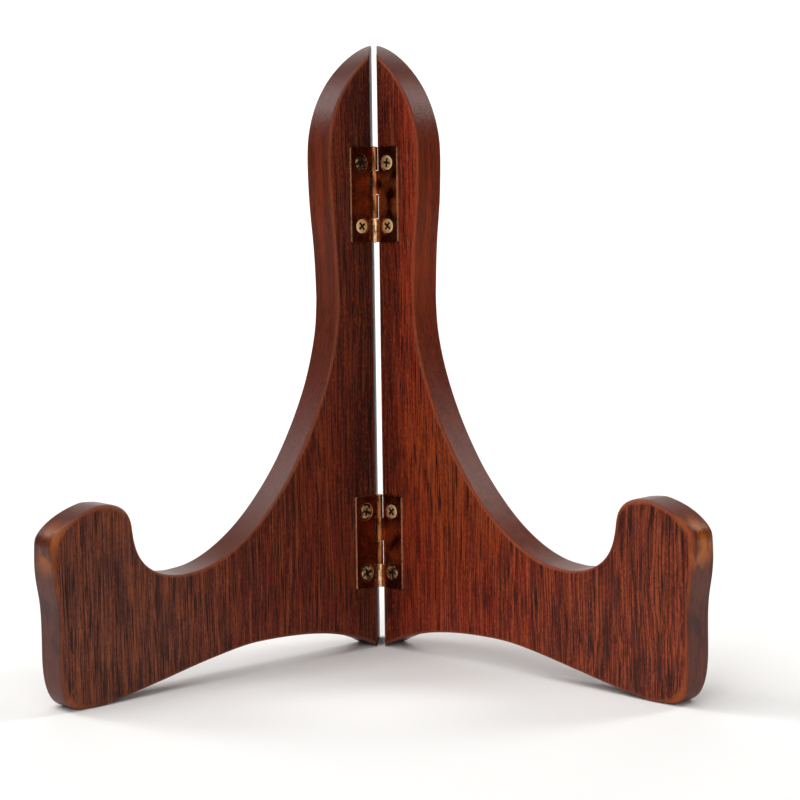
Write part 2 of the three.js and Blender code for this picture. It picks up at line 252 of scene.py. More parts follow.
# Stained and varnished hardwood, sawn, sanded and dipped. The open pores hold dark stain as short
# upright streaks, paler fibres lie between them, and a thin varnish gives a soft gloss.
def stained_hardwood(
    name, tones, glow_place, glow_reach, sway, hinge_reach, hinge_depth, nose_wear
):
    colours = bpy.context.scene.stand_colours
    material = blank_material(name)
    tree = material.node_tree
    place = add(tree, "ShaderNodeAttribute", attribute_name="place").outputs["Vector"]
    mm = add(tree, "ShaderNodeVectorMath", {0: place, "Scale": 1000.0}, operation="SCALE").outputs[0]
    parts = add(tree, "ShaderNodeSeparateXYZ", {0: mm})
    along = add(tree, "ShaderNodeMath", {0: parts.outputs["X"]}, operation="ABSOLUTE").outputs[0]
    rim = add(tree, "ShaderNodeAttribute", attribute_name="rim").outputs["Fac"]
    arris = add(tree, "ShaderNodeAttribute", attribute_name="arris").outputs["Fac"]
    wear = add(tree, "ShaderNodeAttribute", attribute_name="wear").outputs["Fac"]

    # The growth lines lean and wander by a few millimetres over the height of a panel.
    slow = add(
        tree,
        "ShaderNodeMapping",
        {"Vector": mm, "Scale": (1 / WANDER_WIDTH, 1 / WANDER_WIDTH, 1 / WANDER_HEIGHT)},
    ).outputs[0]
    wander = add(tree, "ShaderNodeTexNoise", {"Vector": slow, "Scale": 1.0, "Detail": 1.0})
    grain = add(
        tree,
        "ShaderNodeVectorMath",
        {0: wander.outputs["Color"], 1: (sway, sway, 0.0), 2: mm},
        operation="MULTIPLY_ADD",
    ).outputs[0]

    marks = {}
    for mark, (follows, width, height, detail, rough) in WOOD_MARKS.items():
        scaled = add(
            tree,
            "ShaderNodeMapping",
            {
                "Vector": grain if follows == "grain" else mm,
                "Location": FAR_SHIFT if follows == "far" else (0.0, 0.0, 0.0),
                "Scale": (1 / width, 1 / width, 1 / height),
            },
        ).outputs[0]
        marks[mark] = add(
            tree,
            "ShaderNodeTexNoise",
            {"Vector": scaled, "Scale": 1.0, "Detail": detail, "Roughness": rough},
        ).outputs[0]
    shares = {}
    for change, (mark, start, full, most, ramp) in WOOD_SHARES.items():
        shares[change] = add(
            tree,
            "ShaderNodeMapRange",
            {"Value": marks[mark], "From Min": start, "From Max": full, "To Max": most},
            interpolation_type=ramp,
        ).outputs[0]
    for change, (start, end, least, most), ramp in (
        ("fibres_show", FIBRES_SHOW, "LINEAR"),
        ("blots_show", BLOTS_SHOW, "LINEAR"),
        ("foot", FOOT_BROWNS, "LINEAR"),
        ("hinge", (hinge_reach, HINGE_DARK_FULL, 0.0, hinge_depth), "SMOOTHSTEP"),
    ):
        shares[change] = add(
            tree,
            "ShaderNodeMapRange",
            {"Value": along, "From Min": start, "From Max": end, "To Min": least, "To Max": most},
            interpolation_type=ramp,
        ).outputs[0]
    for change, limit in (("pale", "fibres_show"), ("blot", "blots_show")):
        shares[change] = add(
            tree, "ShaderNodeMath", {0: shares[change], 1: shares[limit]}, operation="MULTIPLY"
        ).outputs[0]
    from_glow = add(
        tree, "ShaderNodeVectorMath", {0: mm, 1: glow_place}, operation="DISTANCE"
    ).outputs["Value"]
    shares["glow"] = add(
        tree,
        "ShaderNodeMapRange",
        {"Value": from_glow, "From Min": glow_reach, "From Max": GLOW_CORE, "To Max": GLOW_STRENGTH},
        interpolation_type="SMOOTHSTEP",
    ).outputs[0]

    colour = shade(tones["body"])
    for change, tone in (
        ("foot", tones["foot"]),
        ("glow", tones["glow"]),
        ("hinge", colours.hinge_dark),
        ("deep", tones["deep"]),
        ("pale", tones["light"]),
        ("dark", tones["deep"]),
        ("fleck", tones["light"]),
        ("speck", colours.pore),
        ("blot", colours.blot),
    ):
        colour = add(
            tree,
            "ShaderNodeMix",
            {SHARE: shares[change], UNDER: colour, OVER: shade(tone)},
            data_type="RGBA",
        ).outputs[MIXED]

    # The sanded rims took the stain evenly, in broad upright bands, and are plainer than the faces.
    rim_share = add(tree, "ShaderNodeMath", {0: rim, 1: RIM_PLAINNESS}, operation="MULTIPLY").outputs[0]
    rim_band = add(
        tree,
        "ShaderNodeMapRange",
        {
            "Value": marks["band"],
            "From Min": RIM_BANDS[0],
            "From Max": RIM_BANDS[1],
            "To Min": RIM_BANDS[2],
            "To Max": RIM_BANDS[3],
        },
    ).outputs[0]
    rim_tone = add(
        tree,
        "ShaderNodeMix",
        {SHARE: rim_band, UNDER: shade(tones["rim"]), OVER: shade(tones["glow"])},
        data_type="RGBA",
    ).outputs[MIXED]
    # The neck's rims are thinly stained, and orange streaks show through.
    from_neck = add(
        tree, "ShaderNodeMath", {0: parts.outputs["Z"], 1: NECK_HEIGHT}, operation="SUBTRACT"
    ).outputs[0]
    from_neck = add(tree, "ShaderNodeMath", {0: from_neck}, operation="ABSOLUTE").outputs[0]
    neck = add(
        tree, "ShaderNodeMapRange", {"Value": from_neck, "From Min": NECK_REACH, "From Max": NECK_CORE}
    ).outputs[0]
    streak = add(
        tree,
        "ShaderNodeMapRange",
        {
            "Value": marks["band"],
            "From Min": NECK_STREAKS[0],
            "From Max": NECK_STREAKS[1],
            "To Min": NECK_STREAKS[2],
            "To Max": NECK_STREAKS[3],
        },
    ).outputs[0]
    warm = add(tree, "ShaderNodeMath", {0: streak, 1: neck}, operation="MULTIPLY").outputs[0]
    rim_tone = add(
        tree,
        "ShaderNodeMix",
        {SHARE: warm, UNDER: rim_tone, OVER: shade(colours.thin_stain)},
        data_type="RGBA",
    ).outputs[MIXED]
    # Fewer pores lie open on the rims.
    pore_on_rim = add(
        tree,
        "ShaderNodeMapRange",
        {"Value": rim, "To Min": PORES_SEEN[0], "To Max": PORES_SEEN[1]},
    ).outputs[0]
    pore_seen = add(
        tree, "ShaderNodeMath", {0: shares["pore"], 1: pore_on_rim}, operation="MULTIPLY"
    ).outputs[0]
    # The arrises get a pale painted highlight line, and handling has rubbed the varnish thin on the
    # noses and toes.
    worn = add(tree, "ShaderNodeMath", {0: wear, 1: shares["rubbed"]}, operation="MULTIPLY").outputs[0]
    arris_highlight = add(
        tree, "ShaderNodeMath", {0: arris, 1: ARRIS_HIGHLIGHT}, operation="MULTIPLY"
    ).outputs[0]
    rubbed = add(tree, "ShaderNodeMath", {0: worn, 1: CORNER_RUBBING}, operation="MULTIPLY").outputs[0]
    for share, tone in (
        (rim_share, rim_tone),
        (pore_seen, shade(colours.pore)),
        (arris_highlight, shade(tones["light"])),
        (rubbed, shade(colours.rubbed_wood)),
    ):
        colour = add(
            tree, "ShaderNodeMix", {SHARE: share, UNDER: colour, OVER: tone}, data_type="RGBA"
        ).outputs[MIXED]

    # On the nose of the hook the rim is worn orange, and lower down stain pooled in dark patches.
    # The distance along the panel has no sign, so both panels use the same places.
    unsigned = add(
        tree, "ShaderNodeCombineXYZ", {0: along, 1: parts.outputs["Y"], 2: parts.outputs["Z"]}
    ).outputs[0]
    for centre, (reach, start, full), strength, tone in (
        (NOSE_WEAR, NOSE_WEAR_PATCHES, nose_wear, colours.rubbed_wood),
        (POOLED_STAIN, POOLED_STAIN_PATCHES, POOLED_STAIN_DEPTH, colours.blot),
    ):
        distance = add(
            tree, "ShaderNodeVectorMath", {0: unsigned, 1: centre}, operation="DISTANCE"
        ).outputs["Value"]
        near = add(
            tree,
            "ShaderNodeMapRange",
            {"Value": distance, "From Min": reach, "From Max": reach * PATCH_CORE},
            interpolation_type="SMOOTHSTEP",
        ).outputs[0]
        patched = add(
            tree,
            "ShaderNodeMapRange",
            {"Value": marks["pool"], "From Min": start, "From Max": full, "To Max": strength},
        ).outputs[0]
        on_rim = add(tree, "ShaderNodeMath", {0: patched, 1: rim}, operation="MULTIPLY").outputs[0]
        share = add(tree, "ShaderNodeMath", {0: on_rim, 1: near}, operation="MULTIPLY").outputs[0]
        colour = add(
            tree, "ShaderNodeMix", {SHARE: share, UNDER: colour, OVER: shade(tone)}, data_type="RGBA"
        ).outputs[MIXED]

    # The sanded rims are glossier than the faces, and the fibres break the gloss a little.
    gloss = add(
        tree,
        "ShaderNodeMapRange",
        {"Value": rim, "To Min": WOOD_ROUGHNESS[0], "To Max": WOOD_ROUGHNESS[1]},
    ).outputs[0]
    roughness = add(
        tree,
        "ShaderNodeMath",
        {0: marks["fibre"], 1: FIBRE_ROUGHNESS, 2: gloss},
        operation="MULTIPLY_ADD",
    ).outputs[0]
    # The pores lie deeper than the fibres are high.
    pore_depth = add(tree, "ShaderNodeMath", {0: pore_seen, 1: -1.0}, operation="MULTIPLY").outputs[0]
    relief = add(
        tree,
        "ShaderNodeMath",
        {0: marks["fibre"], 1: FIBRE_HEIGHT, 2: pore_depth},
        operation="MULTIPLY_ADD",
    ).outputs[0]
    bump = add(tree, "ShaderNodeBump", {"Height": relief, "Distance": GRAIN_RELIEF, "Strength": 0.7})
    shader = add(
        tree,
        "ShaderNodeBsdfPrincipled",
        {
            "Base Color": colour,
            "Roughness": roughness,
            "IOR": 1.45,
            "Specular IOR Level": 0.22,
            "Normal": bump.outputs[0],
        },
    )
    add(tree, "ShaderNodeOutputMaterial", {"Surface": shader.outputs[0]})
    return material


def axis_place(tree):
    """A point of the hardware in millimetres, and its level offset from the knuckle axis."""
    place = add(tree, "ShaderNodeTexCoord").outputs["Object"]
    mm = add(tree, "ShaderNodeVectorMath", {0: place, "Scale": 1000.0}, operation="SCALE").outputs[0]
    from_axis = add(
        tree, "ShaderNodeVectorMath", {0: mm, 1: tuple(AXIS / MM)}, operation="SUBTRACT"
    ).outputs[0]
    level = add(
        tree, "ShaderNodeVectorMath", {0: from_axis, 1: (1, 1, 0)}, operation="MULTIPLY"
    ).outputs[0]
    return mm, level


def panel_reach(tree, level, way):
    """How far a level offset reaches along its own panel's way, which is given for the right one."""
    parts = add(tree, "ShaderNodeSeparateXYZ", {0: level})
    aside = add(tree, "ShaderNodeMath", {0: parts.outputs["X"]}, operation="ABSOLUTE").outputs[0]
    own_side = add(tree, "ShaderNodeCombineXYZ", {0: aside, 1: parts.outputs["Y"]}).outputs[0]
    return add(
        tree, "ShaderNodeVectorMath", {0: own_side, 1: way}, operation="DOT_PRODUCT"
    ).outputs["Value"]


# How the plating of a leaf is worn, and how wide the painted highlight along its outer edge is,
# in millimetres. The lowest knuckle starts a quarter of the hinge's length below its middle. The
# plating stays clear midway between the screws.
KNUCKLE_REACH = (1.15, 1.0)
EDGE_HIGHLIGHT = (0.12, 0.04)
LOWEST_KNUCKLE = (-5.9, -6.1)
CLEAR_MIDDLE = (6.5, 3.5)
CLEAR_ROUND_SCREWS = 0.12

# Tarnish clouds' width and height in millimetres, and the noise from which the plating clears.
CLOUD_WIDTH = 3.0
CLOUD_HEIGHT = 4.0
CLOUD_CLEARS = (0.32, 0.56)

# How the mottling keeps the wear, and how rough the plating is between its darkest and palest.
WEAR_KEPT = (0.35, 0.6, 0.55, 1.0)
PLATE_ROUGHNESS = (0.24, 0.32)
EDGE_ROUGHENING = 0.3


# Steel sheet with an antique copper plating, tumbled and darkened. The faces look brown to black
# with reddish patches and mirror the dark wood opposite, and the knuckles are rubbed bright.
def antique_copper(name, centre_height, patch_strength):
    colours = bpy.context.scene.stand_colours
    material = blank_material(name)
    tree = material.node_tree
    mm, level = axis_place(tree)
    turn = bpy.context.scene.stand_sizes.half_angle
    out = panel_reach(tree, level, (math.cos(turn), -math.sin(turn), 0.0))
    radial = add(tree, "ShaderNodeVectorMath", {0: level}, operation="LENGTH").outputs["Value"]
    # Tarnish clouds and mottling of 0.8 mm.
    cloud_place = add(
        tree,
        "ShaderNodeMapping",
        {"Vector": mm, "Scale": (1 / CLOUD_WIDTH, 1 / CLOUD_WIDTH, 1 / CLOUD_HEIGHT)},
    )
    cloud = add(
        tree, "ShaderNodeTexNoise", {"Vector": cloud_place.outputs[0], "Scale": 1.0, "Detail": 1.5}
    )
    mottle = add(tree, "ShaderNodeTexNoise", {"Vector": mm, "Scale": 1.3, "Detail": 2.0}).outputs[0]
    height = add(tree, "ShaderNodeSeparateXYZ", {0: mm}).outputs["Z"]
    from_middle = add(
        tree, "ShaderNodeMath", {0: height, 1: centre_height}, operation="SUBTRACT"
    ).outputs[0]
    aloof = add(tree, "ShaderNodeMath", {0: from_middle}, operation="ABSOLUTE").outputs[0]
    middle = add(
        tree,
        "ShaderNodeMapRange",
        {
            "Value": aloof,
            "From Min": CLEAR_MIDDLE[0],
            "From Max": CLEAR_MIDDLE[1],
            "To Min": CLEAR_ROUND_SCREWS,
            "To Max": patch_strength,
        },
        interpolation_type="SMOOTHSTEP",
    ).outputs[0]
    clear = add(
        tree,
        "ShaderNodeMapRange",
        {"Value": cloud.outputs[0], "From Min": CLOUD_CLEARS[0], "From Max": CLOUD_CLEARS[1]},
    ).outputs[0]
    clear_share = add(tree, "ShaderNodeMath", {0: clear, 1: middle}, operation="MULTIPLY").outputs[0]
    face = add(
        tree,
        "ShaderNodeMix",
        {SHARE: clear_share, UNDER: shade(colours.copper_tarnish), OVER: shade(colours.antique_copper)},
        data_type="RGBA",
    ).outputs[MIXED]
    # Hands rub the rolled knuckles, and the outer edge of the sheet gets bright copper as a painted
    # highlight over rubbed plating.
    on_knuckle = add(
        tree,
        "ShaderNodeMapRange",
        {"Value": radial, "From Min": KNUCKLE_REACH[0], "From Max": KNUCKLE_REACH[1]},
    ).outputs[0]
    on_edge = add(
        tree,
        "ShaderNodeMapRange",
        {
            "Value": out,
            "From Min": LEAF_REACH - EDGE_HIGHLIGHT[0],
            "From Max": LEAF_REACH - EDGE_HIGHLIGHT[1],
        },
    ).outputs[0]
    # This holds the knuckles' wear and the painted highlight of the outer edge.
    rubbed = add(tree, "ShaderNodeMath", {0: on_knuckle, 1: on_edge}, operation="MAXIMUM").outputs[0]
    wear_kept = add(
        tree,
        "ShaderNodeMapRange",
        {
            "Value": mottle,
            "From Min": WEAR_KEPT[0],
            "From Max": WEAR_KEPT[1],
            "To Min": WEAR_KEPT[2],
            "To Max": WEAR_KEPT[3],
        },
    ).outputs[0]
    rubbed = add(tree, "ShaderNodeMath", {0: rubbed, 1: wear_kept}, operation="MULTIPLY").outputs[0]
    # The lowest knuckle is rubbed through to the brass-coloured strike under the copper.
    lowest = add(
        tree,
        "ShaderNodeMapRange",
        {"Value": from_middle, "From Min": LOWEST_KNUCKLE[0], "From Max": LOWEST_KNUCKLE[1]},
    ).outputs[0]
    colour = shade(colours.knuckle_copper)
    for share in (lowest, on_edge):
        colour = add(
            tree,
            "ShaderNodeMix",
            {SHARE: share, UNDER: colour, OVER: shade(colours.copper_wear_and_highlight)},
            data_type="RGBA",
        ).outputs[MIXED]
    colour = add(
        tree, "ShaderNodeMix", {SHARE: rubbed, UNDER: face, OVER: colour}, data_type="RGBA"
    ).outputs[MIXED]
    polish = add(
        tree,
        "ShaderNodeMapRange",
        {"Value": mottle, "To Min": PLATE_ROUGHNESS[0], "To Max": PLATE_ROUGHNESS[1]},
    ).outputs[0]
    roughness = add(
        tree, "ShaderNodeMath", {0: on_edge, 1: EDGE_ROUGHENING, 2: polish}, operation="MULTIPLY_ADD"
    ).outputs[0]
    bump = add(tree, "ShaderNodeBump", {"Height": mottle, "Distance": 0.01 * MM, "Strength": 0.2})
    shader = add(
        tree,
        "ShaderNodeBsdfPrincipled",
        {"Base Color": colour, "Metallic": 1.0, "Roughness": roughness, "Normal": bump.outputs[0]},
    )
    add(tree, "ShaderNodeOutputMaterial", {"Surface": shader.outputs[0]})
    return material


# The same plating rubbed through by handling, with a painted highlight where the edges catch the light.
# It shows as bright copper lines along the edges.
def copper_wear_and_highlight():
    colours = bpy.context.scene.stand_colours
    material = blank_material("copper_edge_wear_and_highlight")
    tree = material.node_tree
    place = add(tree, "ShaderNodeTexCoord").outputs["Object"]
    # The bright copper comes and goes every 3 mm along an edge. The coordinates are in metres.
    highlight_noise = add(tree, "ShaderNodeTexNoise", {"Vector": place, "Scale": 330.0, "Detail": 2.0})
    share = add(
        tree, "ShaderNodeMapRange", {"Value": highlight_noise.outputs[0], "From Min": 0.45, "From Max": 0.7}
    ).outputs[0]
    colour = add(
        tree,
        "ShaderNodeMix",
        {SHARE: share, UNDER: shade(colours.copper_wear_and_highlight), OVER: shade(colours.antique_copper)},
        data_type="RGBA",
    ).outputs[MIXED]
    shader = add(
        tree, "ShaderNodeBsdfPrincipled", {"Base Color": colour, "Metallic": 1.0, "Roughness": 0.45}
    )
    add(tree, "ShaderNodeOutputMaterial", {"Surface": shader.outputs[0]})
    return material


# Where a screw's stains begin on a clean head, how soon they are full, and how much a tarnished
# head brings them forward.
STAIN_START = 0.66
STAIN_FULL = 0.86
TARNISH_PULL = 0.4

# The depth round the leaf's face over which a head turns from bright metal to painted shade, in
# millimetres, and the slope over which a recess wall does.
SHADE_DEPTH = (-0.04, 0.02)
WALL_SLOPE = (0.86, 0.72)


# Brass-plated screws, tumbled. Clean ones are pale gold, old ones are brown and dull, and the
# cross recess and the ring round the head are painted near-black as shade.
def screw_brass(name, tarnish):
    colours = bpy.context.scene.stand_colours
    material = blank_material(name)
    tree = material.node_tree
    mm, level = axis_place(tree)
    turn = bpy.context.scene.stand_sizes.half_angle
    depth = panel_reach(tree, level, (math.sin(turn), math.cos(turn), 0.0))
    # How squarely the surface faces away from its own panel, from -1 to 1.
    side = add(tree, "ShaderNodeSeparateXYZ", {0: level}).outputs["X"]
    side = add(tree, "ShaderNodeMath", {0: side}, operation="SIGN").outputs[0]
    mirror = add(tree, "ShaderNodeCombineXYZ", {0: side, 1: 1.0, 2: 1.0}).outputs[0]
    normal = add(tree, "ShaderNodeTexCoord").outputs["Normal"]
    own_normal = add(
        tree, "ShaderNodeVectorMath", {0: normal, 1: mirror}, operation="MULTIPLY"
    ).outputs[0]
    front_way = (-math.sin(turn), -math.cos(turn), 0.0)
    facing = add(
        tree, "ShaderNodeVectorMath", {0: own_normal, 1: front_way}, operation="DOT_PRODUCT"
    ).outputs["Value"]

    # Stains about 0.8 mm across.
    stain = add(tree, "ShaderNodeTexNoise", {"Vector": mm, "Scale": 1.25, "Detail": 3.0}).outputs[0]
    stained = add(
        tree,
        "ShaderNodeMapRange",
        {
            "Value": stain,
            "From Min": STAIN_START - tarnish * TARNISH_PULL,
            "From Max": STAIN_FULL - tarnish * TARNISH_PULL,
        },
    ).outputs[0]
    metal = add(
        tree,
        "ShaderNodeMix",
        {SHARE: stained, UNDER: shade(colours.brass), OVER: shade(colours.brass_tarnish)},
        data_type="RGBA",
    ).outputs[MIXED]
    # Painted shade: everything lying behind the rim of the head is near-black, and so are the recess's
    # steep walls.
    behind_rim = add(
        tree,
        "ShaderNodeMapRange",
        {
            "Value": depth,
            "From Min": LEAF_FACE + SHADE_DEPTH[0],
            "From Max": LEAF_FACE + SHADE_DEPTH[1],
        },
    ).outputs[0]
    wall = add(
        tree,
        "ShaderNodeMapRange",
        {"Value": facing, "From Min": WALL_SLOPE[0], "From Max": WALL_SLOPE[1]},
    ).outputs[0]
    painted_shade = add(tree, "ShaderNodeMath", {0: behind_rim, 1: wall}, operation="MAXIMUM").outputs[0]
    colour = add(
        tree,
        "ShaderNodeMix",
        {SHARE: painted_shade, UNDER: metal, OVER: shade(colours.recess_shade)},
        data_type="RGBA",
    ).outputs[MIXED]
    # Where the shade is painted the head is not metallic, and it is rough.
    clean = add(tree, "ShaderNodeMapRange", {"Value": painted_shade, "To Min": 1.0, "To Max": 0.0}).outputs[0]
    satin = add(tree, "ShaderNodeMapRange", {"Value": stain, "To Min": 0.46, "To Max": 0.6}).outputs[0]
    roughness = add(tree, "ShaderNodeMath", {0: satin, 1: painted_shade}, operation="MAXIMUM").outputs[0]
    shader = add(
        tree,
        "ShaderNodeBsdfPrincipled",
        {"Base Color": colour, "Metallic": clean, "Roughness": roughness},
    )
    add(tree, "ShaderNodeOutputMaterial", {"Surface": shader.outputs[0]})
    return material


# Matt painted studio board. It has no pattern and gives an even pale ground.
def studio_paint():
    colours = bpy.context.scene.stand_colours
    material = blank_material("studio_paint")
    tree = material.node_tree
    shader = add(
        tree, "ShaderNodeBsdfPrincipled", {"Base Color": shade(colours.floor), "Roughness": 0.85}
    )
    add(tree, "ShaderNodeOutputMaterial", {"Surface": shader.outputs[0]})
    return material


def leaf_extent():
    """The farthest reach of a hinge leaf along its panel and the depth of its face, in mm."""
    leaf = frame["nodes"]["upper_hinge_right_leaf"]
    cos, sin = math.cos(HALF_ANGLE), math.sin(HALF_ANGLE)
    spots = [(v.co - AXIS) / MM for v in leaf.data.vertices]
    reach = max(p.x * cos - p.y * sin for p in spots)
    outer_edge = [p for p in spots if p.x * cos - p.y * sin > reach - 1.0]
    return reach, min(p.x * sin + p.y * cos for p in outer_edge)


LEAF_REACH, LEAF_FACE = leaf_extent()


# CAD points closer than this are one, and points this close to a level lie on it.
SAME_POINT = 0.001 * MM
SAME_LEVEL = 0.01 * MM

# An edge of the panel's outline is shorter than this, and the mitre's own edges are longer.
MITRE_EDGE = 20 * MM


def panel_place(side):
    """Where a panel's own frame lies: its z axis is the knuckle axis, and y points to its rear."""
    turn = -SIDES[side] * bpy.context.scene.stand_sizes.half_angle
    return Matrix.Translation(AXIS) @ Matrix.Rotation(turn, 4, "Z")


def outline_of(side):
    """The full-width outline of a CAD panel, from the top of its mitre round to the foot of it.

    Points are (distance from the knuckle axis, height). Also gives the two hinge-side arrises of
    the mitre, inner and rear, as (distance from the knuckle axis, depth).
    """
    panel = frame["nodes"][f"{side}_panel"]
    shape = bmesh.new()
    shape.from_mesh(panel.data)
    shape.transform(panel_place(side).inverted())
    bmesh.ops.remove_doubles(shape, verts=shape.verts, dist=SAME_POINT)
    front = min(v.co.y for v in shape.verts)
    back = max(v.co.y for v in shape.verts)
    level = back - CAD_ARRIS_ROUND
    sign = SIDES[side]
    arrises = [
        Vector((min(sign * v.co.x for v in shape.verts if abs(v.co.y - face) < SAME_LEVEL), face))
        for face in (front, back)
    ]
    reach = {}
    for edge in shape.edges:
        flat = all(abs(v.co.y - level) < SAME_LEVEL for v in edge.verts)
        if flat and edge.calc_length() < MITRE_EDGE:
            a, b = edge.verts
            reach.setdefault(a, []).append(b)
            reach.setdefault(b, []).append(a)
    ends = [v for v, others in reach.items() if len(others) == 1]
    if len(ends) != 2:
        raise RuntimeError(f"the outline of {side}_panel has {len(ends)} ends, and it needs 2")
    chain = [max(ends, key=lambda v: v.co.z)]
    while len(chain) < len(reach):
        following = [v for v in reach[chain[-1]] if len(chain) < 2 or v is not chain[-2]]
        chain.append(following[0])
    points = [Vector((sign * v.co.x, v.co.z)) for v in chain]
    shape.free()
    return points, arrises


def spline_through(points, step):
    """Points spaced about step apart on a smooth curve through the given ones."""
    padded = [points[0] * 2 - points[1], *points, points[-1] * 2 - points[-2]]
    result = []
    for a, b, c, d in zip(padded, padded[1:], padded[2:], padded[3:]):
        count = max(1, round((c - b).length / step))
        scale_in = (c - b).length / max((c - a).length, 1e-9)
        scale_out = (c - b).length / max((d - b).length, 1e-9)
        for index in range(count):
            t = index / count
            leave = (c - a) * scale_in
            arrive = (d - b) * scale_out
            result.append(
                b * (2 * t**3 - 3 * t**2 + 1)
                + leave * (t**3 - 2 * t**2 + t)
                + c * (3 * t**2 - 2 * t**3)
                + arrive * (t**3 - t**2)
            )
    result.append(points[-1])
    return result


def outward(points):
    """The outward normal at each point of an outline that runs clockwise from the top."""
    normals = []
    for index in range(len(points)):
        before = points[max(index - 1, 0)]
        after = points[min(index + 1, len(points) - 1)]
        along = (after - before).normalized()
        normals.append(Vector((-along.y, along.x)))
    return normals


# How much the outline turns per millimetre where a corner starts to count, in radians, and how
# much more makes it a full nose. A corner is judged over this many points to each side.
CORNER_START = 0.045
CORNER_RANGE = 0.1
CORNER_REACH = 5


def corner_sharpness(points, normals):
    """How sharply the outline turns outward at each point, from 0 on straights to 1 on a nose."""
    reach = CORNER_REACH
    bends = []
    for index in range(len(points)):
        low = max(index - reach, 0)
        high = min(index + reach, len(points) - 1)
        turn = normals[low].angle_signed(normals[high], 0.0)
        run = max((points[high] - points[low]).length, 1e-6)
        bends.append(min(max((turn / run * MM - CORNER_START) / CORNER_RANGE, 0.0), 1.0))
    smooth = []
    for index in range(len(bends)):
        near = bends[max(index - reach, 0) : index + reach + 1]
        smooth.append(sum(near) / len(near))
    return smooth


# The steps round a quarter of a sanded edge.
ARRIS_SEGMENTS = 5

# The outline is carried this far past the hinge, and the saw cut takes the rest off.
PAST_MITRE = 14 * MM

# How quickly the waves left by sanding come and go from point to point along an edge.
EDGE_WAVES = 0.07
FACE_WAVES = 0.05

# Where in the noise the waves are read, so that the edges and the two panels don't share them.
FRONT_ROW = 3.0
REAR_ROW = 7.0
EDGE_LAYER = 5.0
FACE_LAYER = 9.0


def shape_panel(side):
    """The panel's mesh, with softly worn edges and a flat mitre.

    It is shaped in the panel's own frame, and each point keeps that place for the wood's grain.
    """
    sizes = bpy.context.scene.stand_sizes
    sign = SIDES[side]
    points, (inner, rear) = outline_of(side)
    front, back = inner.y, rear.y
    top = points[0].y
    points = spline_through(points, sizes.outline_step)
    points = [Vector((-PAST_MITRE, points[0].y)), *points, Vector((-PAST_MITRE, points[-1].y))]
    normals = outward(points)
    normals[0] = normals[1] = Vector((0, 1))
    normals[-1] = normals[-2] = Vector((0, -1))
    sharpness = corner_sharpness(points, normals)

    mesh = bmesh.new()
    rim_layer = mesh.verts.layers.float.new("rim")
    arris_layer = mesh.verts.layers.float.new("arris")
    wear_layer = mesh.verts.layers.float.new("wear")
    place_layer = mesh.verts.layers.float_vector.new("place")
    rings = []
    quarter = [math.pi / 2 * k / ARRIS_SEGMENTS for k in range(ARRIS_SEGMENTS + 1)]
    levels = [(angle, False) for angle in quarter] + [(angle, True) for angle in reversed(quarter)]
    for angle, at_rear in levels:
        ring = []
        row = REAR_ROW if at_rear else FRONT_ROW
        for index, (point, normal, sharp) in enumerate(zip(points, normals, sharpness)):
            waves = noise.noise(Vector((index * EDGE_WAVES, row, sign * EDGE_LAYER)))
            radius = sizes.arris_round + sizes.corner_wear * sharp + sizes.hand_sanding * waves
            swell = noise.noise(Vector((index * FACE_WAVES, angle, sign * FACE_LAYER)))
            sanded = 0.5 + 0.5 * swell
            inset = radius * (1 - math.sin(angle)) + sizes.hand_sanding * sanded * (1 - sharp)
            depth = radius * (1 - math.cos(angle))
            flat = point - normal * inset
            flat.y = min(max(flat.y, 0.0), top)
            vert = mesh.verts.new((sign * flat.x, back - depth if at_rear else front + depth, flat.y))
            vert[rim_layer] = math.sin(angle)
            # Halfway round the sanded edge lie the arris's painted highlight and, on noses and toes,
            # the wear.
            vert[arris_layer] = math.sin(2 * angle)
            vert[wear_layer] = sharp * math.sin(2 * angle)
            ring.append(vert)
        rings.append(ring)
    for lower, upper in zip(rings, rings[1:]):
        for index in range(len(lower) - 1):
            mesh.faces.new((lower[index], lower[index + 1], upper[index + 1], upper[index]))
    mesh.faces.new(rings[0])
    mesh.faces.new(rings[-1])
    mesh.faces.new([ring[0] for ring in rings] + [ring[-1] for ring in reversed(rings)])

    # The saw cut of the mitre runs through the inner arris and away from the hinge at the rear.
    cut = bmesh.ops.bisect_plane(
        mesh,
        geom=[*mesh.verts, *mesh.edges, *mesh.faces],
        dist=0.1 * SAME_POINT,
        plane_co=(sign * inner.x, inner.y, 0.0),
        plane_no=(sign * (inner.y - rear.y), rear.x - inner.x, 0.0),
        clear_outer=True,
    )
    cut_edges = [e for e in cut["geom_cut"] if isinstance(e, bmesh.types.BMEdge)]
    bmesh.ops.edgeloop_fill(mesh, edges=cut_edges)
    bmesh.ops.bevel(
        mesh, geom=cut_edges, offset=sizes.mitre_easing, segments=2, profile=0.5, affect="EDGES"
    )
    bmesh.ops.recalc_face_normals(mesh, faces=mesh.faces)
    for vert in mesh.verts:
        vert.co.z = min(max(vert.co.z, 0.0), top)
        vert[place_layer] = vert.co
    mesh.transform(panel_place(side))
    data = bpy.data.meshes.new(f"{side}_panel_wood")
    mesh.to_mesh(data)
    mesh.free()
    for polygon in data.polygons:
        polygon.use_smooth = True
    piece = bpy.data.objects.new(data.name, data)
    bpy.context.scene.collection.objects.link(piece)
    even = piece.modifiers.new("even_shading", "WEIGHTED_NORMAL")
    even.keep_sharp = True
    return piece


# Faces this close to one plane become one face, and edges sharper than this get an arris.
FLAT_WITHIN = math.radians(0.5)
SHARP_EDGE = math.radians(35)


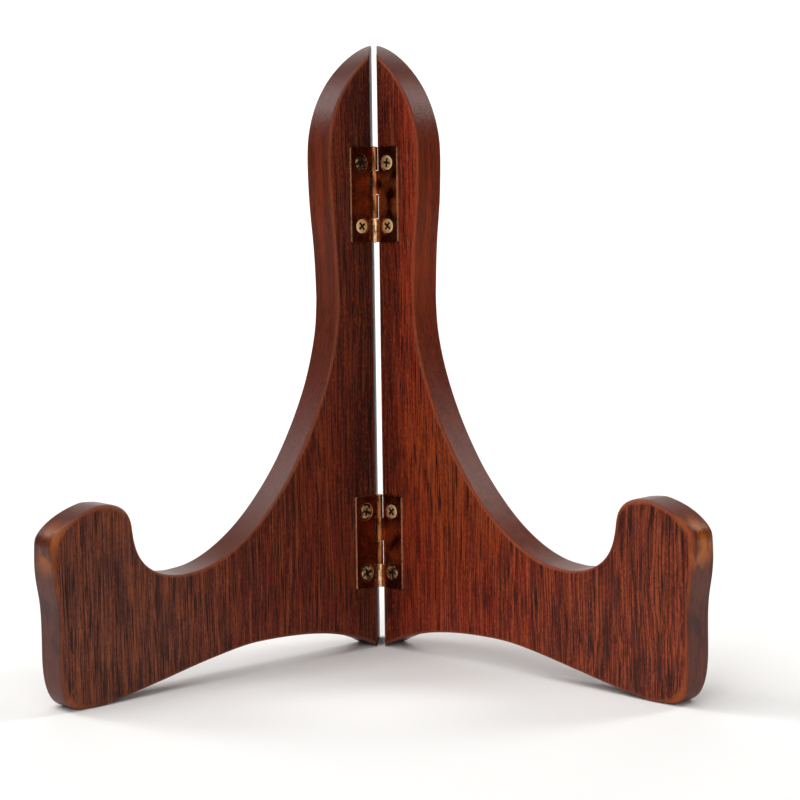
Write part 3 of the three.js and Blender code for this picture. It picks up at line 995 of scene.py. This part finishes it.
def refine(node, materials, arris):
    """Gives a CAD piece its materials, a fine bevelled edge in the last of them, and even shading."""
    piece = frame["nodes"][node]
    piece.data.materials.clear()
    for material in materials:
        piece.data.materials.append(material)
    for polygon in piece.data.polygons:
        polygon.use_smooth = True
    weld = piece.modifiers.new("weld", "WELD")
    weld.merge_threshold = SAME_POINT
    merge = piece.modifiers.new("flat_faces", "DECIMATE")
    merge.decimate_type = "DISSOLVE"
    merge.angle_limit = FLAT_WITHIN
    edge = piece.modifiers.new("bevelled_edge", "BEVEL")
    edge.width = arris
    edge.segments = 2
    edge.limit_method = "ANGLE"
    edge.angle_limit = SHARP_EDGE
    edge.material = len(materials) - 1
    even = piece.modifiers.new("even_shading", "WEIGHTED_NORMAL")
    even.keep_sharp = True
    return piece


# The tones that each panel's wood is made of.
TONES = ("body", "deep", "light", "glow", "foot", "rim")


class STAND_OT_panels(bpy.types.Operator):
    """Shapes both stained hardwood panels from the outlines of the CAD ones"""

    bl_idname = "stand.panels"
    bl_label = "Panels"

    def execute(self, context):
        colours = context.scene.stand_colours
        woods = {
            "left": stained_hardwood(
                "stained_hardwood_left",
                {tone: getattr(colours, f"left_{tone}") for tone in TONES},
                glow_place=(-42.0, 2.0, 44.0),
                glow_reach=24.0,
                sway=3.0,
                hinge_reach=15.0,
                hinge_depth=0.8,
                nose_wear=0.55,
            ),
            "right": stained_hardwood(
                "stained_hardwood_right",
                {tone: getattr(colours, f"right_{tone}") for tone in TONES},
                glow_place=(33.0, 2.0, 50.0),
                glow_reach=34.0,
                sway=4.0,
                hinge_reach=11.0,
                hinge_depth=0.72,
                nose_wear=0.85,
            ),
        }
        for side, wood in woods.items():
            piece = shape_panel(side)
            piece.data.materials.append(wood)
            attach(piece, f"{side}_half")
            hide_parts(f"{side}_panel")
        return {"FINISHED"}


# How much of each leaf's plating is still clear of tarnish.
CLEAR_PLATING = {
    ("upper", "left"): 0.22,
    ("upper", "right"): 1.0,
    ("lower", "left"): 0.08,
    ("lower", "right"): 0.55,
}


class STAND_OT_hinges(bpy.types.Operator):
    """Finishes the four hinge leaves and the two pins"""

    bl_idname = "stand.hinges"
    bl_label = "Hinges"

    def execute(self, context):
        # Bright copper for the bevelled edges: rubbed plating and a painted highlight where edges catch
        # the light.
        edge = copper_wear_and_highlight()
        for (level, side), strength in CLEAR_PLATING.items():
            node = f"{level}_hinge_{side}_leaf"
            low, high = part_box(node)
            middle = (low.z + high.z) / 2 / MM
            plate = antique_copper(f"antique_copper_{level}_{side}", middle, strength)
            refine(node, [plate, edge], context.scene.stand_sizes.leaf_arris)
        for level in ("upper", "lower"):
            refine(f"{level}_hinge_pin", [edge], context.scene.stand_sizes.screw_arris)
        return {"FINISHED"}


# Which screws are old and dull. The others are clean.
DULL_SCREWS = {
    "upper_left_screw_top": 1.0,
    "lower_left_screw_top": 0.75,
    "lower_left_screw_bottom": 0.75,
    "lower_right_screw_bottom": 0.75,
}


class STAND_OT_screws(bpy.types.Operator):
    """Finishes the eight cross-recess screws"""

    bl_idname = "stand.screws"
    bl_label = "Screws"

    def execute(self, context):
        finishes = {
            0.0: screw_brass("clean_brass", 0.0),
            0.75: screw_brass("dull_brass", 0.75),
            1.0: screw_brass("blackened_brass", 1.0),
        }
        for level in ("upper", "lower"):
            for side in SIDES:
                for end in ("top", "bottom"):
                    node = f"{level}_{side}_screw_{end}"
                    finish = finishes[DULL_SCREWS.get(node, 0.0)]
                    refine(node, [finish], context.scene.stand_sizes.screw_arris)
        return {"FINISHED"}


# The floor and the sweep behind it, in metres.
FLOOR_HALF_WIDTH = 0.5
FLOOR_FRONT = -0.7
SWEEP_START = 0.5
SWEEP_RADIUS = 0.6
SWEEP_TOP = 2.4
SWEEP_STEPS = 24

# Each light's name, place, target, side length in metres and power in watts.
STUDIO_LIGHTS = (
    ("overhead_softbox", (-0.35, -0.15, 1.25), (0.0, 0.0, 0.0), 0.9, 8.5),
    ("key_softbox", (-0.45, -1.1, 0.8), (0.0, 0.0, 0.07), 0.6, 4.4),
    ("fill_softbox", (0.5, -1.1, 0.45), (0.0, 0.0, 0.07), 0.6, 3.0),
    ("left_backdrop_light", (-0.9, 0.45, 0.9), (0.1, 1.1, 0.4), 0.6, 8.0),
    ("right_backdrop_light", (0.9, 0.45, 0.9), (-0.1, 1.1, 0.4), 0.6, 8.0),
)

# The even light of the studio's walls, beside the lamps.
WALL_LIGHT = 0.08

# The camera's place in metres, its turns in radians, and its lens and sensor in millimetres.
CAMERA_PLACE = (0.01348, -0.45667, 0.11205)
CAMERA_YAW = 0.01608
CAMERA_PITCH = 0.09872
CAMERA_ROLL = -0.01338
CAMERA_LENS = 85.43
SENSOR_WIDTH = 36.0


class STAND_OT_studio(bpy.types.Operator):
    """Sets up the pale floor with its sweep, the soft lights and the camera"""

    bl_idname = "stand.studio"
    bl_label = "Studio"

    def execute(self, context):
        scene = context.scene
        profile = [(FLOOR_FRONT, 0.0), (SWEEP_START, 0.0)]
        for step in range(1, SWEEP_STEPS + 1):
            angle = math.pi / 2 * step / SWEEP_STEPS
            profile.append(
                (SWEEP_START + SWEEP_RADIUS * math.sin(angle), SWEEP_RADIUS * (1 - math.cos(angle)))
            )
        profile.append((profile[-1][0], SWEEP_TOP))
        mesh = bpy.data.meshes.new("studio_sweep")
        verts = [(x, y, z) for y, z in profile for x in (-FLOOR_HALF_WIDTH, FLOOR_HALF_WIDTH)]
        faces = [(2 * i, 2 * i + 1, 2 * i + 3, 2 * i + 2) for i in range(len(profile) - 1)]
        mesh.from_pydata(verts, [], faces)
        mesh.materials.append(studio_paint())
        for polygon in mesh.polygons:
            polygon.use_smooth = True
        sweep = bpy.data.objects.new("studio_sweep", mesh)
        scene.collection.objects.link(sweep)

        world = bpy.data.worlds.new("studio_light_tent")
        world.use_nodes = True
        world.node_tree.nodes.clear()
        glow = add(
            world.node_tree,
            "ShaderNodeBackground",
            {"Color": (1, 1, 1, 1), "Strength": WALL_LIGHT},
        )
        add(world.node_tree, "ShaderNodeOutputWorld", {"Surface": glow.outputs[0]})
        scene.world = world

        for name, place, target, size, power in STUDIO_LIGHTS:
            light = bpy.data.lights.new(name, "AREA")
            light.size = size
            light.energy = power
            lamp = bpy.data.objects.new(name, light)
            lamp.location = place
            aim = Vector(target) - Vector(place)
            lamp.rotation_euler = aim.to_track_quat("-Z", "Y").to_euler()
            scene.collection.objects.link(lamp)

        camera = bpy.data.cameras.new("camera")
        camera.lens = CAMERA_LENS
        camera.sensor_width = SENSOR_WIDTH
        holder = bpy.data.objects.new("camera", camera)
        look = Vector(
            (
                -math.sin(CAMERA_YAW) * math.cos(CAMERA_PITCH),
                math.cos(CAMERA_YAW) * math.cos(CAMERA_PITCH),
                -math.sin(CAMERA_PITCH),
            )
        )
        level = Vector((math.cos(CAMERA_YAW), math.sin(CAMERA_YAW), 0.0))
        upright = level.cross(look)
        across = level * math.cos(CAMERA_ROLL) + upright * math.sin(CAMERA_ROLL)
        above = upright * math.cos(CAMERA_ROLL) - level * math.sin(CAMERA_ROLL)
        turn = Matrix((across, above, -look)).transposed().to_4x4()
        holder.matrix_world = Matrix.Translation(CAMERA_PLACE) @ turn
        scene.collection.objects.link(holder)
        scene.camera = holder
        scene.view_settings.view_transform = "Standard"
        return {"FINISHED"}


OPERATORS = (STAND_OT_studio, STAND_OT_panels, STAND_OT_hinges, STAND_OT_screws)


class STAND_PT_pieces(bpy.types.Panel):
    """Lists the steps that build the stand, with its sizes and colours"""

    bl_idname = "STAND_PT_pieces"
    bl_label = "Plate Stand"
    bl_space_type = "VIEW_3D"
    bl_region_type = "UI"
    bl_category = "Plate Stand"

    def draw(self, context):
        for operator in OPERATORS:
            self.layout.operator(operator.bl_idname)
        for group in (context.scene.stand_sizes, context.scene.stand_colours):
            column = self.layout.column(align=True)
            for name in group.__annotations__:
                column.prop(group, name)


CLASSES = (StandSizes, StandColours, *OPERATORS, STAND_PT_pieces)


def register():
    for item in CLASSES:
        bpy.utils.register_class(item)
    bpy.types.Scene.stand_sizes = PointerProperty(type=StandSizes)
    bpy.types.Scene.stand_colours = PointerProperty(type=StandColours)


def unregister():
    del bpy.types.Scene.stand_colours
    del bpy.types.Scene.stand_sizes
    for item in reversed(CLASSES):
        bpy.utils.unregister_class(item)


def main():
    register()
    bpy.ops.stand.studio()
    bpy.ops.stand.panels()
    bpy.ops.stand.hinges()
    bpy.ops.stand.screws()


if __name__ == "__main__":
    main()
